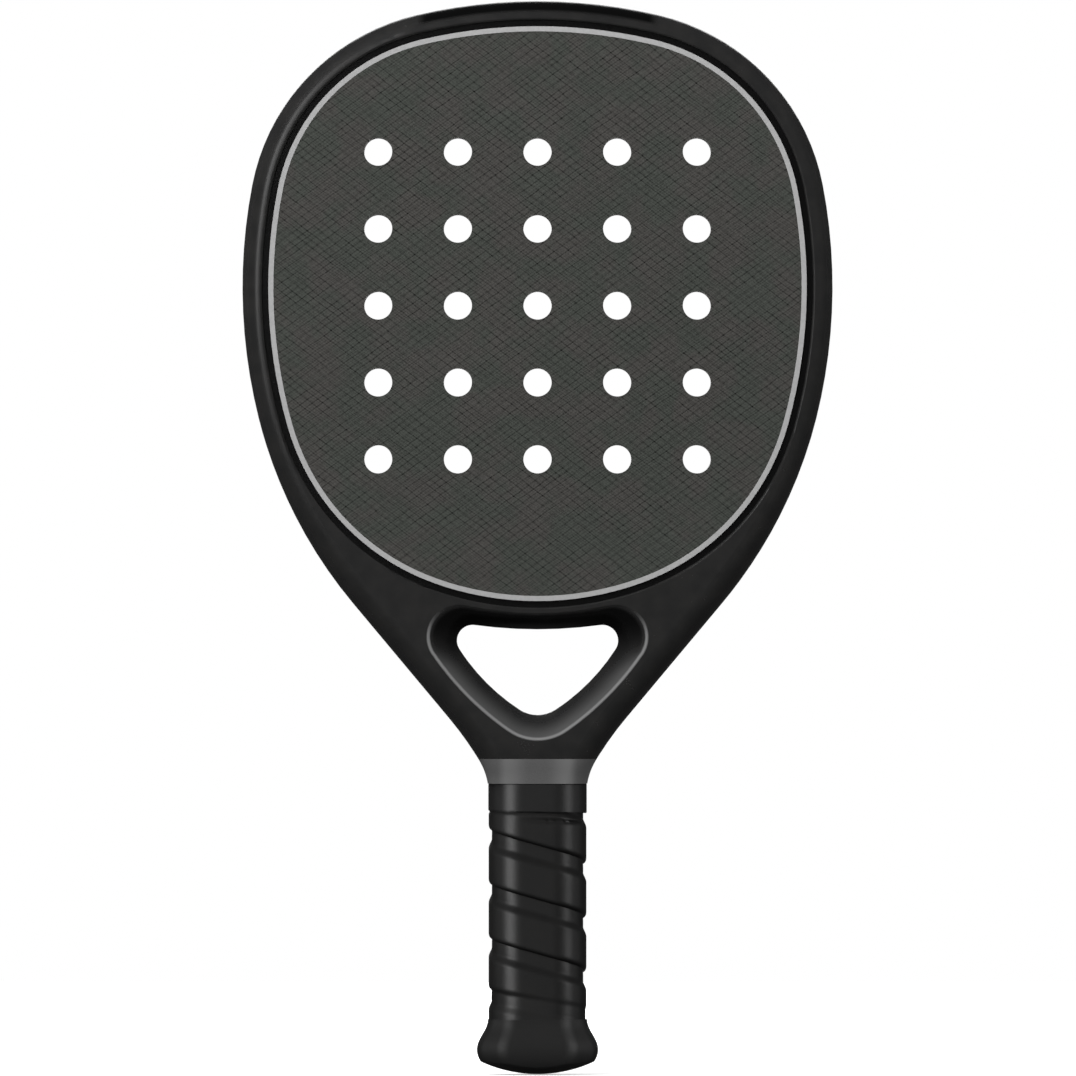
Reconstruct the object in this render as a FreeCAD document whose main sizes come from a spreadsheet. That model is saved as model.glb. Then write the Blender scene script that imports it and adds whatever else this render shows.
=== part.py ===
import FreeCAD, Part
import math
import os

import Sketcher

from FreeCAD import Placement, Rotation, Vector

# Padel racket, in millimetres. +X is the width, +Y the thickness (the front face looks
# along -Y) and +Z runs from the butt of the handle, at the origin, up to the tip.
# Heights on the head and throat are named as drops from the tip, because a longer
# racket of this kind has a longer handle under the same head.

SIZES = [
    # whole racket
    ("length", 455.0),
    ("width", 250.0),
    ("thickness", 38.0),
    # outline of the frame, arc by arc from the tip down to the grip
    ("crown_r", 226.7),
    ("shoulder_r", 92.0),
    ("side_r", 228.5),
    ("side_drop", 121.4),
    ("side_sweep", 14.06),
    ("throat_run", 63.5),
    ("neck_upper_r", 145.0),
    ("neck_break_angle", 31.3),
    ("neck_lower_r", 28.2),
    ("neck_drop", 336.4),
    # frame section
    ("head_round", 7.2),
    ("throat_round", 9.5),
    ("shell_wall", 1.2),
    ("rim_width", 11.0),
    ("groove_width", 2.7),
    ("groove_depth", 1.6),
    ("groove_lip_round", 0.9),
    # hitting face
    ("face_bottom_drop", 254.4),
    ("face_lower_share", 0.7952),
    ("face_base_share", 1.036),
    ("face_sink", 0.4),
    ("carbon_ply", 0.5),
    ("glass_ply", 0.4),
    ("line_width", 2.15),
    ("line_film", 0.15),
    ("hole_d", 12.0),
    ("hole_pitch_x", 33.76),
    ("hole_pitch_z", 32.57),
    ("hole_grid_drop", 129.2),
    # open heart, a rounded triangle with its point down
    ("heart_top_reach", 6.9),
    ("heart_arm", 21.41),
    ("heart_point_sweep", 33.2),
    ("heart_point_r", 14.0),
    ("heart_side_r", 86.7),
    ("heart_corner_r", 6.7),
    ("heart_bow_r", 196.0),
    # scooped recess round the heart
    ("bridge_strip", 2.4),
    ("scoop_arm", 11.55),
    ("scoop_point_sweep", 34.8),
    ("scoop_point_r", 21.3),
    ("scoop_side_r", 126.2),
    ("scoop_corner_r", 13.7),
    ("scoop_depth", 10.0),
    ("scoop_bulge", 1.8),
    ("scoop_lip_round", 0.8),
    ("bridge_half_width", 40.0),
    ("bridge_below_top", 2.0),
    # neck, thinned from the throat to the thickness of the grip
    ("relief_gap", 0.5),
    ("neck_step", 0.25),
    # collar
    ("collar_top_drop", 321.3),
    ("collar_height", 10.5),
    ("collar_wall", 1.6),
    # grip, an octagon with rounded corners
    ("grip_width", 41.44),
    ("grip_thickness", 33.5),
    ("grip_bevel", 8.72),
    ("grip_corner_r", 9.0),
    ("overgrip_wall", 2.2),
    ("base_grip_wall", 1.6),
    ("pallet_wall", 3.4),
    ("spiral_pitch", 23.0),
    ("spiral_gap", 7.0),
    ("spiral_depth", 1.5),
    ("spiral_tilt", 3.9),
    ("spiral_lead", 0.3),
    ("tape_height", 12.0),
    ("tape_film", 0.5),
    ("tape_proud", 0.15),
    # butt cap
    ("cap_height", 23.2),
    ("cap_flare", 5.0),
    ("cap_flare_y", 1.85),
    ("cap_lip", 0.3),
    ("cap_belly", 10.5),
    ("cap_tuck", 7.3),
    ("cap_dome_r", 57.0),
    ("cap_edge_round", 1.5),
    ("cap_floor", 6.5),
    ("cap_end_gap", 2.0),
    ("skirt_height", 8.0),
    ("skirt_wall", 1.0),
    ("plug_length", 14.0),
    ("ferrule_bore_d", 5.0),
    ("ferrule_wall", 1.5),
    ("ferrule_flange_d", 12.0),
    ("ferrule_flange", 1.0),
    ("cord_clearance", 1.0),
    ("tack_head_d", 3.0),
    ("tack_head", 0.4),
    ("tack_shank_d", 1.2),
    ("tack_length", 3.0),
    ("tack_spacing", 14.0),
]

doc = FreeCAD.newDocument("padel_racket")
sheet = doc.addObject("Spreadsheet::Sheet", "sizes")
for row, (name, value) in enumerate(SIZES, start=1):
    sheet.set("A%d" % row, name)
    sheet.set("B%d" % row, str(value))
    sheet.setAlias("B%d" % row, name)
doc.recompute()


def size(name):
    return float(sheet.get(name))


# how far a cutting block reaches past what it cuts
PAST = 1.0
LENGTH = size("length")
HALF_W = size("width") / 2
HALF_T = size("thickness") / 2
WALL = size("shell_wall")
GRIP_A = size("grip_width") / 2
GRIP_B = size("grip_thickness") / 2
GRIP_C = GRIP_A + GRIP_B - size("grip_bevel")
CAP_TOP = size("cap_height")
FOOT_Z = LENGTH - size("neck_drop")
COLLAR_TOP = LENGTH - size("collar_top_drop")
COLLAR_BOTTOM = COLLAR_TOP - size("collar_height")
TAPE_BOTTOM = COLLAR_BOTTOM - size("tape_height")
OVERGRIP = size("overgrip_wall")
GRIPS = OVERGRIP + size("base_grip_wall")
TUBE = GRIPS + size("pallet_wall")
TUBE_END = size("cap_floor") + size("cap_end_gap")
PLUG_TOP = TUBE_END + size("plug_length")
SKIRT_TOP = CAP_TOP + size("skirt_height")
CORE_HALF = HALF_T - size("face_sink") - size("carbon_ply") - size("glass_ply")
GLASS_HALF = CORE_HALF + size("glass_ply")
FACE_HALF = GLASS_HALF + size("carbon_ply")
FACE_BOTTOM = LENGTH - size("face_bottom_drop")
FACE_LOWER_R = size("face_lower_share") * HALF_W
FACE_BASE_R = size("face_base_share") * HALF_W
SCOOP_TOP = FACE_BOTTOM - size("groove_width") - size("bridge_strip")
HEART_TOP = SCOOP_TOP - size("heart_top_reach")


# ---- outlines: the right half as tangent arcs and lines, mirrored about the long axis ----
# A knot is (x, z, nx, nz): a point of the outline and the direction that leads outwards.

def polar(centre, radius, angle, side):
    ux = math.cos(angle)
    uz = math.sin(angle)
    return (centre[0] + radius * ux, centre[1] + radius * uz, side * ux, side * uz)


def arc(centre, radius, start, end, side=1):
    """An arc between two directions from its centre; side is -1 where it is hollow."""
    middle = (start + end) / 2
    return [polar(centre, radius, a, side) for a in (start, middle, end)]


def bearing(start, end):
    return math.atan2(end[1] - start[1], end[0] - start[0])


def meet(centre_a, reach_a, centre_b, reach_b):
    """The two points at given distances from two centres."""
    span = math.dist(centre_a, centre_b)
    along = (reach_a ** 2 - reach_b ** 2 + span ** 2) / (2 * span)
    across = math.sqrt(reach_a ** 2 - along ** 2)
    turn = bearing(centre_a, centre_b)
    foot = (centre_a[0] + along * math.cos(turn), centre_a[1] + along * math.sin(turn))
    return [(foot[0] - s * across * math.sin(turn), foot[1] + s * across * math.cos(turn))
            for s in (1, -1)]


def head_arcs(inset):
    """Centres and radii of the crown, shoulder and side arcs, moved inwards by inset."""
    crown = (0.0, LENGTH - size("crown_r"))
    side = (HALF_W - size("side_r"), LENGTH - size("side_drop"))
    shoulder = max(meet(crown, size("crown_r") - size("shoulder_r"),
                        side, size("side_r") - size("shoulder_r")), key=sum)
    return [(crown, size("crown_r") - inset), (shoulder, size("shoulder_r") - inset),
            (side, size("side_r") - inset)]


def throat():
    """Neck arcs, flank arc and the slope of the straight run that joins them.

    The flank arc takes over from the side arc at side_sweep below its middle, and its
    radius follows from the length of the straight run, so a wider head or grip keeps a
    smooth throat."""
    side, side_r = head_arcs(0)[2]
    steep = math.radians(size("neck_break_angle"))
    low_r = size("neck_lower_r")
    up_r = size("neck_upper_r")
    low = (GRIP_A + low_r, FOOT_Z)
    up = (low[0] + (up_r - low_r) * math.cos(steep), low[1] - (up_r - low_r) * math.sin(steep))
    sweep = math.radians(size("side_sweep"))
    away = (math.cos(sweep), -math.sin(sweep))
    span = (side[0] - up[0], side[1] - up[1])
    dot = span[0] * away[0] + span[1] * away[1]
    handover = math.hypot(span[0] + side_r * away[0], span[1] + side_r * away[1])
    flank_r = (handover ** 2 - up_r ** 2 - size("throat_run") ** 2) / (2 * (up_r + dot + side_r))
    flank = (side[0] + (side_r - flank_r) * away[0], side[1] + (side_r - flank_r) * away[1])
    lean = math.acos((flank_r + up_r) / math.dist(flank, up))
    slope = -(bearing(flank, up) + lean)
    return low, up, flank, flank_r, slope


FLANK, FLANK_R, THROAT_SLOPE = throat()[2:]


def frame_outline():
    (crown, crown_r), (shoulder, shoulder_r), (side, side_r) = head_arcs(0)
    low, up, flank, flank_r, slope = throat()
    up_r = size("neck_upper_r")
    steep = math.radians(size("neck_break_angle"))
    sweep = math.radians(size("side_sweep"))
    one = bearing(crown, shoulder)
    two = bearing(side, shoulder)
    return [
        arc(crown, crown_r, math.pi / 2, one),
        arc(shoulder, shoulder_r, one, two),
        arc(side, side_r, two, -sweep),
        arc(flank, flank_r, -sweep, -slope),
        arc(up, up_r, math.pi - slope, math.pi - steep, -1),
        arc(low, size("neck_lower_r"), math.pi - steep, math.pi, -1),
        [(GRIP_A, 0.0, 1.0, 0.0)],
    ]


def face_outline():
    (crown, crown_r), (shoulder, shoulder_r), (side, side_r) = head_arcs(size("rim_width"))
    base = (0.0, FACE_BOTTOM + FACE_BASE_R)
    lower = max(meet(side, side_r - FACE_LOWER_R, base, FACE_BASE_R - FACE_LOWER_R),
                key=lambda p: p[0] - p[1])
    one = bearing(crown, shoulder)
    two = bearing(side, shoulder)
    three = bearing(side, lower)
    four = bearing(base, lower)
    return [
        arc(crown, crown_r, math.pi / 2, one),
        arc(shoulder, shoulder_r, one, two),
        arc(side, side_r, two, three),
        arc(lower, FACE_LOWER_R, three, four),
        arc(base, FACE_BASE_R, four, -math.pi / 2),
    ]


def heart_outline(share):
    """Rounded triangle with bowed sides: the open heart at share 0, the scoop's edge at 1.

    Its sides keep a set distance, the arm, from the straight runs of the throat."""
    def between(low, high):
        return low + share * (high - low)

    def sized(name):
        return between(size("heart_" + name), size("scoop_" + name))

    face_bow_r = FACE_BASE_R + size("groove_width") + size("bridge_strip")
    bow_r = between(size("heart_bow_r"), face_bow_r)
    point_r = sized("point_r")
    corner_r = sized("corner_r")
    side_r = sized("side_r")
    turn = math.radians(sized("point_sweep") - 90)
    step = side_r - point_r
    out = (math.cos(THROAT_SLOPE), -math.sin(THROAT_SLOPE))
    edge = FLANK[0] * out[0] + FLANK[1] * out[1] + FLANK_R
    swing = math.cos(turn) * out[0] + math.sin(turn) * out[1]
    tip = (0.0, (edge - sized("arm") - side_r + step * swing) / out[1])
    side = (-step * math.cos(turn), tip[1] - step * math.sin(turn))
    bow = (0.0, between(HEART_TOP, SCOOP_TOP) + bow_r)
    corner = max(meet(side, side_r - corner_r, bow, bow_r + corner_r))
    return [
        arc(bow, bow_r, -math.pi / 2, bearing(bow, corner), -1),
        arc(corner, corner_r, bearing(corner, bow), bearing(side, corner)),
        arc(side, side_r, bearing(side, corner), turn),
        arc(tip, point_r, turn, -math.pi / 2),
    ]


def outline_wire(runs, inset, y):
    """Closed wire of a half outline and its mirror image, moved inwards by inset."""
    def point(knot, mirror):
        return Vector(mirror * (knot[0] - inset * knot[2]), y, knot[1] - inset * knot[3])

    edges = []
    for mirror in (1, -1):
        last = None
        for run in runs:
            start = point(run[0], mirror)
            if last and last.distanceToPoint(start) > 1e-4:
                edges.append(Part.makeLine(last, start))
            if len(run) == 3:
                edges.append(Part.Arc(*[point(k, mirror) for k in run]).toShape())
            last = point(run[-1], mirror)
        if mirror == 1:
            right_end = last
    if right_end.distanceToPoint(last) > 1e-4:
        edges.append(Part.makeLine(right_end, last))
    return Part.Wire(Part.__sortEdges__(edges))


def slab(runs, inset, y_from, y_to):
    face = Part.Face(outline_wire(runs, inset, y_from))
    return face.extrude(Vector(0, y_to - y_from, 0))


def both_sides(solid):
    return solid.fuse(solid.mirror(Vector(0, 0, 0), Vector(0, 1, 0)))


def layer(z_from, z_to):
    """A block wider than the racket between two heights."""
    span = 4 * HALF_W
    return Part.makeBox(span, span, z_to - z_from, Vector(-span / 2, -span / 2, z_from))


def octagon(inset, z, widen=0.0, deepen=0.0):
    """Grip section at a height: an octagon with rounded corners."""
    half_x = GRIP_A + widen - inset
    half_y = GRIP_B + deepen - inset
    reach = GRIP_C + (widen + deepen - 2 * inset) * math.sqrt(0.5)
    corner_r = max(size("grip_corner_r") - inset, 1.0)
    quarter = [(half_x, reach - half_x), (reach - half_y, half_y)]
    corners = quarter + [(-x, y) for x, y in reversed(quarter)]
    corners += [(-x, -y) for x, y in corners]
    knots = []
    for i, corner in enumerate(corners):
        here = Vector(corner[0], corner[1], z)
        back = Vector(*corners[i - 1], z) - here
        ahead = Vector(*corners[(i + 1) % 8], z) - here
        half_angle = back.getAngle(ahead) / 2
        trim = corner_r / math.tan(half_angle)
        middle = (back.normalize() + ahead.normalize()).normalize()
        depth = corner_r / math.sin(half_angle) - corner_r
        knots.append((here + back * trim, here + middle * depth, here + ahead * trim))
    edges = []
    for i, (start, middle, end) in enumerate(knots):
        edges.append(Part.makeLine(knots[i - 1][2], start))
        edges.append(Part.Arc(start, middle, end).toShape())
    return Part.Wire(edges)


def grip_block(inset, z_from, z_to, widen=0.0, deepen=0.0):
    face = Part.Face(octagon(inset, z_from, widen, deepen))
    return face.extrude(Vector(0, 0, z_to - z_from))


# ---- frame: outer form, cavity and openings ----

FRAME = frame_outline()
FACE = face_outline()


def neck_relief(inset):
    """Solid that thins the neck from the throat to the thickness of the grip."""
    start = heart_outline(1)[-1][-1][1] - size("scoop_lip_round") - size("relief_gap")
    drop = HALF_T - GRIP_B - size("neck_step")
    half_run = (start - FOOT_Z) / 2
    radius = (half_run ** 2 + (drop / 2) ** 2) / drop
    lean = math.atan2(drop / 2, half_run)
    top_y = HALF_T - inset
    low_y = top_y - drop
    out_y = 2 * HALF_T
    mid_y = top_y - drop / 2
    mid_z = start - half_run
    high_bulge = Vector(0, top_y - radius * (1 - math.cos(lean)), start - radius * math.sin(lean))
    low_bulge = Vector(0, low_y + radius * (1 - math.cos(lean)), FOOT_Z + radius * math.sin(lean))
    edges = [
        Part.Arc(Vector(0, top_y, start), high_bulge, Vector(0, mid_y, mid_z)).toShape(),
        Part.Arc(Vector(0, mid_y, mid_z), low_bulge, Vector(0, low_y, FOOT_Z)).toShape(),
        Part.makeLine(Vector(0, low_y, FOOT_Z), Vector(0, low_y, -HALF_T)),
        Part.makeLine(Vector(0, low_y, -HALF_T), Vector(0, out_y, -HALF_T)),
        Part.makeLine(Vector(0, out_y, -HALF_T), Vector(0, out_y, start)),
        Part.makeLine(Vector(0, out_y, start), Vector(0, top_y, start)),
    ]
    face = Part.Face(Part.Wire(edges))
    face.translate(Vector(-HALF_W, 0, 0))
    return both_sides(face.extrude(Vector(2 * HALF_W, 0, 0)))


def rounded(shape, radius_at, keep):
    """Rounds the edges that keep() picks; radius_at(z) gives the radius at each end."""
    base = doc.addObject("Part::Feature", "fillet_base")
    base.Shape = shape
    fillet = doc.addObject("Part::Fillet", "fillet_work")
    fillet.Base = base
    picks = []
    for number, edge in enumerate(shape.Edges, start=1):
        first = edge.valueAt(edge.FirstParameter)
        last = edge.valueAt(edge.LastParameter)
        middle = edge.valueAt((edge.FirstParameter + edge.LastParameter) / 2)
        if keep(first, middle, last):
            picks.append((number, radius_at(first.z), radius_at(last.z)))
    fillet.Edges = picks
    doc.recompute()
    if fillet.Shape.isNull() or not fillet.Shape.isValid():
        raise RuntimeError("edges could not be rounded")
    result = fillet.Shape.copy()
    doc.removeObject("fillet_work")
    doc.removeObject("fillet_base")
    return result


def rounded_along(shape, wire, radius):
    """Rounds the edges that lie on a wire."""
    def on_wire(first, middle, last):
        return all(wire.distToShape(Part.Vertex(p))[0] < 0.02 for p in (first, middle, last))

    return rounded(shape, lambda z: radius, on_wire)


def frame_form(inset):
    """The racket without openings, every surface moved inwards by inset."""
    half = HALF_T - inset
    form = slab(FRAME, inset, -half, half).cut(neck_relief(inset))
    flank_top = FLANK[1] - FLANK_R * math.sin(math.radians(size("side_sweep")))

    def radius_at(z):
        name = "head_round" if z > flank_top - PAST else "throat_round"
        return size(name) - inset

    def on_rim(first, middle, last):
        return first.y * last.y > 0 and abs(middle.x) > 0.5 and abs(middle.y) > 1

    return rounded(form, radius_at, on_rim)


def face_channel(grow):
    """Window for the hitting face and the wider, shallow channel round it."""
    floor = HALF_T - size("groove_depth") - grow
    channel = slab(FACE, -size("groove_width") - grow, floor, HALF_T + PAST)
    return both_sides(channel).fuse(slab(FACE, -grow, -HALF_T - PAST, HALF_T + PAST))


def heart_cut(grow):
    """Open heart and the scooped recess that leads into it from both faces."""
    wires = []
    for share in (0.0, 0.5, 1.0, 1.1):
        rise = size("scoop_depth") * (1 - share) - size("scoop_bulge") * 4 * share * (1 - share)
        wires.append(outline_wire(heart_outline(share), -grow, HALF_T - rise - grow / 2))
    scoop = Part.makeLoft(wires, True, False)
    return both_sides(scoop).fuse(slab(heart_outline(0), -grow, -HALF_T, HALF_T))


form = frame_form(0)
under_collar = frame_form(size("collar_wall"))
outer = form.common(layer(COLLAR_TOP, LENGTH + PAST))
outer = outer.fuse(under_collar.common(layer(COLLAR_BOTTOM, COLLAR_TOP)))
outer = outer.cut(face_channel(0)).cut(heart_cut(0))
for y in (-HALF_T, HALF_T):
    lip = outline_wire(FACE, -size("groove_width"), y)
    outer = rounded_along(outer, lip, size("groove_lip_round"))
    crest = outline_wire(heart_outline(1), 0, y)
    outer = rounded_along(outer, crest, size("scoop_lip_round"))
outer = outer.fuse(grip_block(TUBE, TUBE_END, COLLAR_BOTTOM))

neck_cavity = frame_form(size("collar_wall") + WALL)
cavity = frame_form(WALL).common(layer(COLLAR_TOP + WALL, LENGTH))
cavity = cavity.fuse(neck_cavity.common(layer(COLLAR_BOTTOM + WALL, COLLAR_TOP + WALL)))
cavity = cavity.cut(face_channel(WALL)).cut(heart_cut(WALL))
tube_cavity = grip_block(TUBE + WALL, TUBE_END, COLLAR_BOTTOM + WALL)
frame_shell = outer.cut(cavity).cut(tube_cavity)

bridge_floor = HEART_TOP - size("bridge_below_top")
bridge_half = size("bridge_half_width")
bridge_zone = Part.makeBox(2 * bridge_half, 4 * HALF_T, LENGTH / 4,
                           Vector(-bridge_half, -2 * HALF_T, bridge_floor))
upper_foam = cavity.common(layer(bridge_floor, LENGTH))
bridge_foam = upper_foam.common(bridge_zone)
head_foam = upper_foam.cut(bridge_zone)
throat_foam = cavity.common(layer(COLLAR_BOTTOM, bridge_floor))
handle_foam = tube_cavity.common(layer(PLUG_TOP, COLLAR_BOTTOM + WALL))

collar = form.common(layer(COLLAR_BOTTOM, COLLAR_TOP)).cut(under_collar)

# ---- grip ----

tape_outer = grip_block(-size("tape_proud"), TAPE_BOTTOM, COLLAR_BOTTOM)
finishing_tape = tape_outer.cut(grip_block(size("tape_film") - size("tape_proud"),
                                           TAPE_BOTTOM, COLLAR_BOTTOM))


def spiral_gap():
    """The channel left between the turns of the overgrip."""
    pitch = size("spiral_pitch")
    start = TAPE_BOTTOM - size("spiral_lead")
    turns = math.ceil((start - CAP_TOP) / pitch) + 1
    inner = GRIP_B / 2
    outer_r = 2 * GRIP_A
    half_gap = size("spiral_gap") / 2
    helix = Part.makeHelix(pitch, turns * pitch, GRIP_A, 0, True)
    corners = [(inner, -half_gap), (outer_r, -half_gap), (outer_r, half_gap), (inner, half_gap)]
    section = Part.makePolygon([Vector(x, 0, z) for x, z in corners + corners[:1]])
    ribbon = Part.Wire(helix.Edges).makePipeShell([section], True, True)
    ribbon.translate(Vector(0, 0, start - turns * pitch))
    ribbon.rotate(Vector(0, 0, (start + CAP_TOP) / 2), Vector(0, 1, 0), size("spiral_tilt"))
    skin = grip_block(-PAST, CAP_TOP, TAPE_BOTTOM)
    skin = skin.cut(grip_block(size("spiral_depth"), CAP_TOP, TAPE_BOTTOM))
    return skin.common(ribbon)


overgrip = grip_block(0, CAP_TOP, COLLAR_BOTTOM).cut(grip_block(OVERGRIP, CAP_TOP, COLLAR_BOTTOM))
overgrip = overgrip.cut(tape_outer).cut(spiral_gap())

# ---- butt cap ----


def cap_section(z):
    """Section of the cap at a height: it swells to the belly and tucks in below it."""
    belly = size("cap_belly")
    if z >= belly:
        swell = math.sin(math.pi / 2 * (CAP_TOP - z) / (CAP_TOP - belly)) ** 2
    else:
        swell = 1 - size("cap_tuck") / size("cap_flare") * ((belly - z) / belly) ** 2
    lip = size("cap_lip")
    return octagon(0, z, lip + (size("cap_flare") - lip) * swell,
                   lip + (size("cap_flare_y") - lip) * swell)


bore_r = size("ferrule_bore_d") / 2
dome_r = size("cap_dome_r")
dome = Part.makeSphere(dome_r, Vector(0, 0, math.sqrt(dome_r ** 2 - bore_r ** 2)))
belly = size("cap_belly")
heights = [CAP_TOP - (CAP_TOP - belly) * i / 4 for i in range(5)] + [belly / 2, 0.0, -belly / 4]
cap_body = Part.makeLoft([cap_section(z) for z in heights], True, False)
cap_body = cap_body.common(dome)
cap_body = rounded(cap_body, lambda z: size("cap_edge_round"),
                   lambda first, middle, last: max(first.z, middle.z, last.z) < belly)
skirt = grip_block(GRIPS - size("skirt_wall"), CAP_TOP, SKIRT_TOP)
cap_pocket = grip_block(GRIPS, size("cap_floor"), SKIRT_TOP)
butt_cap = cap_body.fuse(skirt).cut(cap_pocket)

pallets = grip_block(GRIPS, TUBE_END, COLLAR_BOTTOM).cut(grip_block(TUBE, TUBE_END, COLLAR_BOTTOM))
base_grip = grip_block(OVERGRIP, CAP_TOP, COLLAR_BOTTOM)
base_grip = base_grip.cut(grip_block(GRIPS, CAP_TOP, COLLAR_BOTTOM)).cut(skirt)


# ---- pieces ----

def bound(feature, **expressions):
    for name, expression in expressions.items():
        feature.setExpression(name, expression)


def cylinder(name, radius, height, base, axis=Vector(0, 0, 1)):
    """A cylinder whose radius and height follow the sheet."""
    feature = doc.addObject("Part::Cylinder", name)
    bound(feature, Radius=radius, Height=height)
    feature.Placement = Placement(base, Rotation(Vector(0, 0, 1), axis))
    return feature


def coded(name, shape):
    feature = doc.addObject("Part::Feature", name)
    feature.Shape = shape.removeSplitter()
    feature.Placement = Placement()
    return feature


def base_plane(body, role):
    return next(item for item in body.Origin.OriginFeatures if item.Role == role)


def new_sketch(body, name, role, distance):
    sketch = body.newObject("Sketcher::SketchObject", name)
    sketch.AttachmentSupport = [(base_plane(body, role), "")]
    sketch.MapMode = "FlatFace"
    sketch.AttachmentOffset = Placement(Vector(0, 0, distance), Rotation())
    return sketch


def draw(sketch, wire, flat):
    """Copies a wire into a sketch; flat() turns a point into sketch coordinates."""
    for edge in wire.Edges:
        ends = [flat(v.Point) for v in edge.Vertexes]
        if edge.Curve.TypeId == "Part::GeomLine":
            sketch.addGeometry(Part.LineSegment(*ends))
        else:
            middle = flat(edge.valueAt((edge.FirstParameter + edge.LastParameter) / 2))
            sketch.addGeometry(Part.Arc(ends[0], middle, ends[1]))


def face_layer(name, thickness, distance, holes=True, ring=None):
    """A flat layer cut to the outline of the hitting face, front surface at -distance."""
    body = doc.addObject("PartDesign::Body", name)
    outline = new_sketch(body, name + "_outline", "XZ_Plane", distance)
    draw(outline, outline_wire(FACE, 0, 0), lambda p: Vector(p.x, p.z, 0))
    if ring:
        draw(outline, outline_wire(FACE, size(ring), 0), lambda p: Vector(p.x, p.z, 0))
    pad = body.newObject("PartDesign::Pad", name + "_pad")
    pad.Profile = outline
    pad.Reversed = True
    bound(pad, Length=thickness)
    if not holes:
        return body
    first = new_sketch(body, name + "_first_hole", "XZ_Plane", distance)
    centre = Vector(-2 * size("hole_pitch_x"),
                    LENGTH - size("hole_grid_drop") - 2 * size("hole_pitch_z"), 0)
    first.addGeometry(Part.Circle(centre, Vector(0, 0, 1), size("hole_d") / 2))
    radius = first.addConstraint(Sketcher.Constraint("Radius", 0, size("hole_d") / 2))
    first.setExpression("Constraints[%d]" % radius, "sizes.hole_d / 2")
    pocket = body.newObject("PartDesign::Pocket", name + "_hole")
    pocket.Profile = first
    bound(pocket, Length=thickness + " + 1 mm")
    grid = body.newObject("PartDesign::MultiTransform", name + "_grid")
    steps = []
    for axis, pitch in (("H_Axis", "hole_pitch_x"), ("V_Axis", "hole_pitch_z")):
        step = doc.addObject("PartDesign::LinearPattern", name + "_" + pitch)
        body.addObject(step)
        step.Direction = (first, [axis])
        step.Occurrences = 5
        bound(step, Length="4 * sizes.%s * 1 mm" % pitch)
        steps.append(step)
    grid.Originals = [pocket]
    grid.Transformations = steps
    body.Tip = grid
    return body


pieces = {
    "frame_shell": coded("frame_shell", frame_shell),
    "head_foam": coded("head_foam", head_foam),
    "bridge_foam": coded("bridge_foam", bridge_foam),
    "throat_foam": coded("throat_foam", throat_foam),
    "handle_foam": coded("handle_foam", handle_foam),
    "collar": coded("collar", collar),
    "finishing_tape": coded("finishing_tape", finishing_tape),
    "overgrip": coded("overgrip", overgrip),
}

core_t = "2 * (sizes.thickness / 2 - sizes.face_sink - sizes.carbon_ply - sizes.glass_ply) * 1 mm"
pieces["core"] = face_layer("core", core_t, CORE_HALF)
pieces["front_glass_ply"] = face_layer("front_glass_ply", "sizes.glass_ply * 1 mm", GLASS_HALF)
pieces["back_glass_ply"] = face_layer("back_glass_ply", "sizes.glass_ply * 1 mm", -CORE_HALF)
pieces["front_carbon_ply"] = face_layer("front_carbon_ply", "sizes.carbon_ply * 1 mm", FACE_HALF)
pieces["back_carbon_ply"] = face_layer("back_carbon_ply", "sizes.carbon_ply * 1 mm", -GLASS_HALF)
film = "sizes.line_film * 1 mm"
FILM_HALF = FACE_HALF + size("line_film")
pieces["front_border_line"] = face_layer("front_border_line", film, FILM_HALF, False, "line_width")
pieces["back_border_line"] = face_layer("back_border_line", film, -FACE_HALF, False, "line_width")

# tacks through the skirt of the cap into the pallets
skirt_y = GRIP_B - GRIPS + size("skirt_wall")
tack_z = (CAP_TOP + SKIRT_TOP) / 2
tack_parts = []
for side_y in (-1, 1):
    for side_x in (-1, 1):
        spot = Vector(side_x * size("tack_spacing") / 2, side_y * skirt_y, tack_z)
        tag = "%s_%s" % ("front" if side_y < 0 else "back", "left" if side_x < 0 else "right")
        head = cylinder("tack_head_" + tag, "sizes.tack_head_d / 2", "sizes.tack_head",
                        spot, Vector(0, side_y, 0))
        shank = cylinder("tack_shank_" + tag, "sizes.tack_shank_d / 2", "sizes.tack_length",
                         spot, Vector(0, -side_y, 0))
        tack = doc.addObject("Part::Fuse", "tack_" + tag)
        tack.Base = head
        tack.Tool = shank
        tack_parts.append(tack)
cap_tacks = doc.addObject("Part::Compound", "cap_tacks")
cap_tacks.Links = tack_parts
pieces["cap_tacks"] = cap_tacks

# lined hole for the wrist cord, its lower end on the dome
tube = cylinder("ferrule_tube", "sizes.ferrule_bore_d / 2 + sizes.ferrule_wall",
                "sizes.cap_floor + %g" % PAST, Vector(0, 0, -PAST))
flange = cylinder("ferrule_flange", "sizes.ferrule_flange_d / 2", "sizes.ferrule_flange",
                  Vector(0, 0, size("cap_floor")))
ferrule_body = doc.addObject("Part::Fuse", "ferrule_body")
ferrule_body.Base = tube
ferrule_body.Tool = flange
ferrule_hole = cylinder("ferrule_hole", "sizes.ferrule_bore_d / 2",
                        "sizes.cap_floor + sizes.ferrule_flange + %g" % PAST,
                        Vector(0, 0, -PAST))
lined = doc.addObject("Part::Cut", "ferrule_lined")
lined.Base = ferrule_body
lined.Tool = ferrule_hole
dome_form = doc.addObject("Part::Feature", "dome_form")
dome_form.Shape = dome
cord_ferrule = doc.addObject("Part::Common", "cord_ferrule")
cord_ferrule.Base = lined
cord_ferrule.Tool = dome_form
pieces["cord_ferrule"] = cord_ferrule

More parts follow.
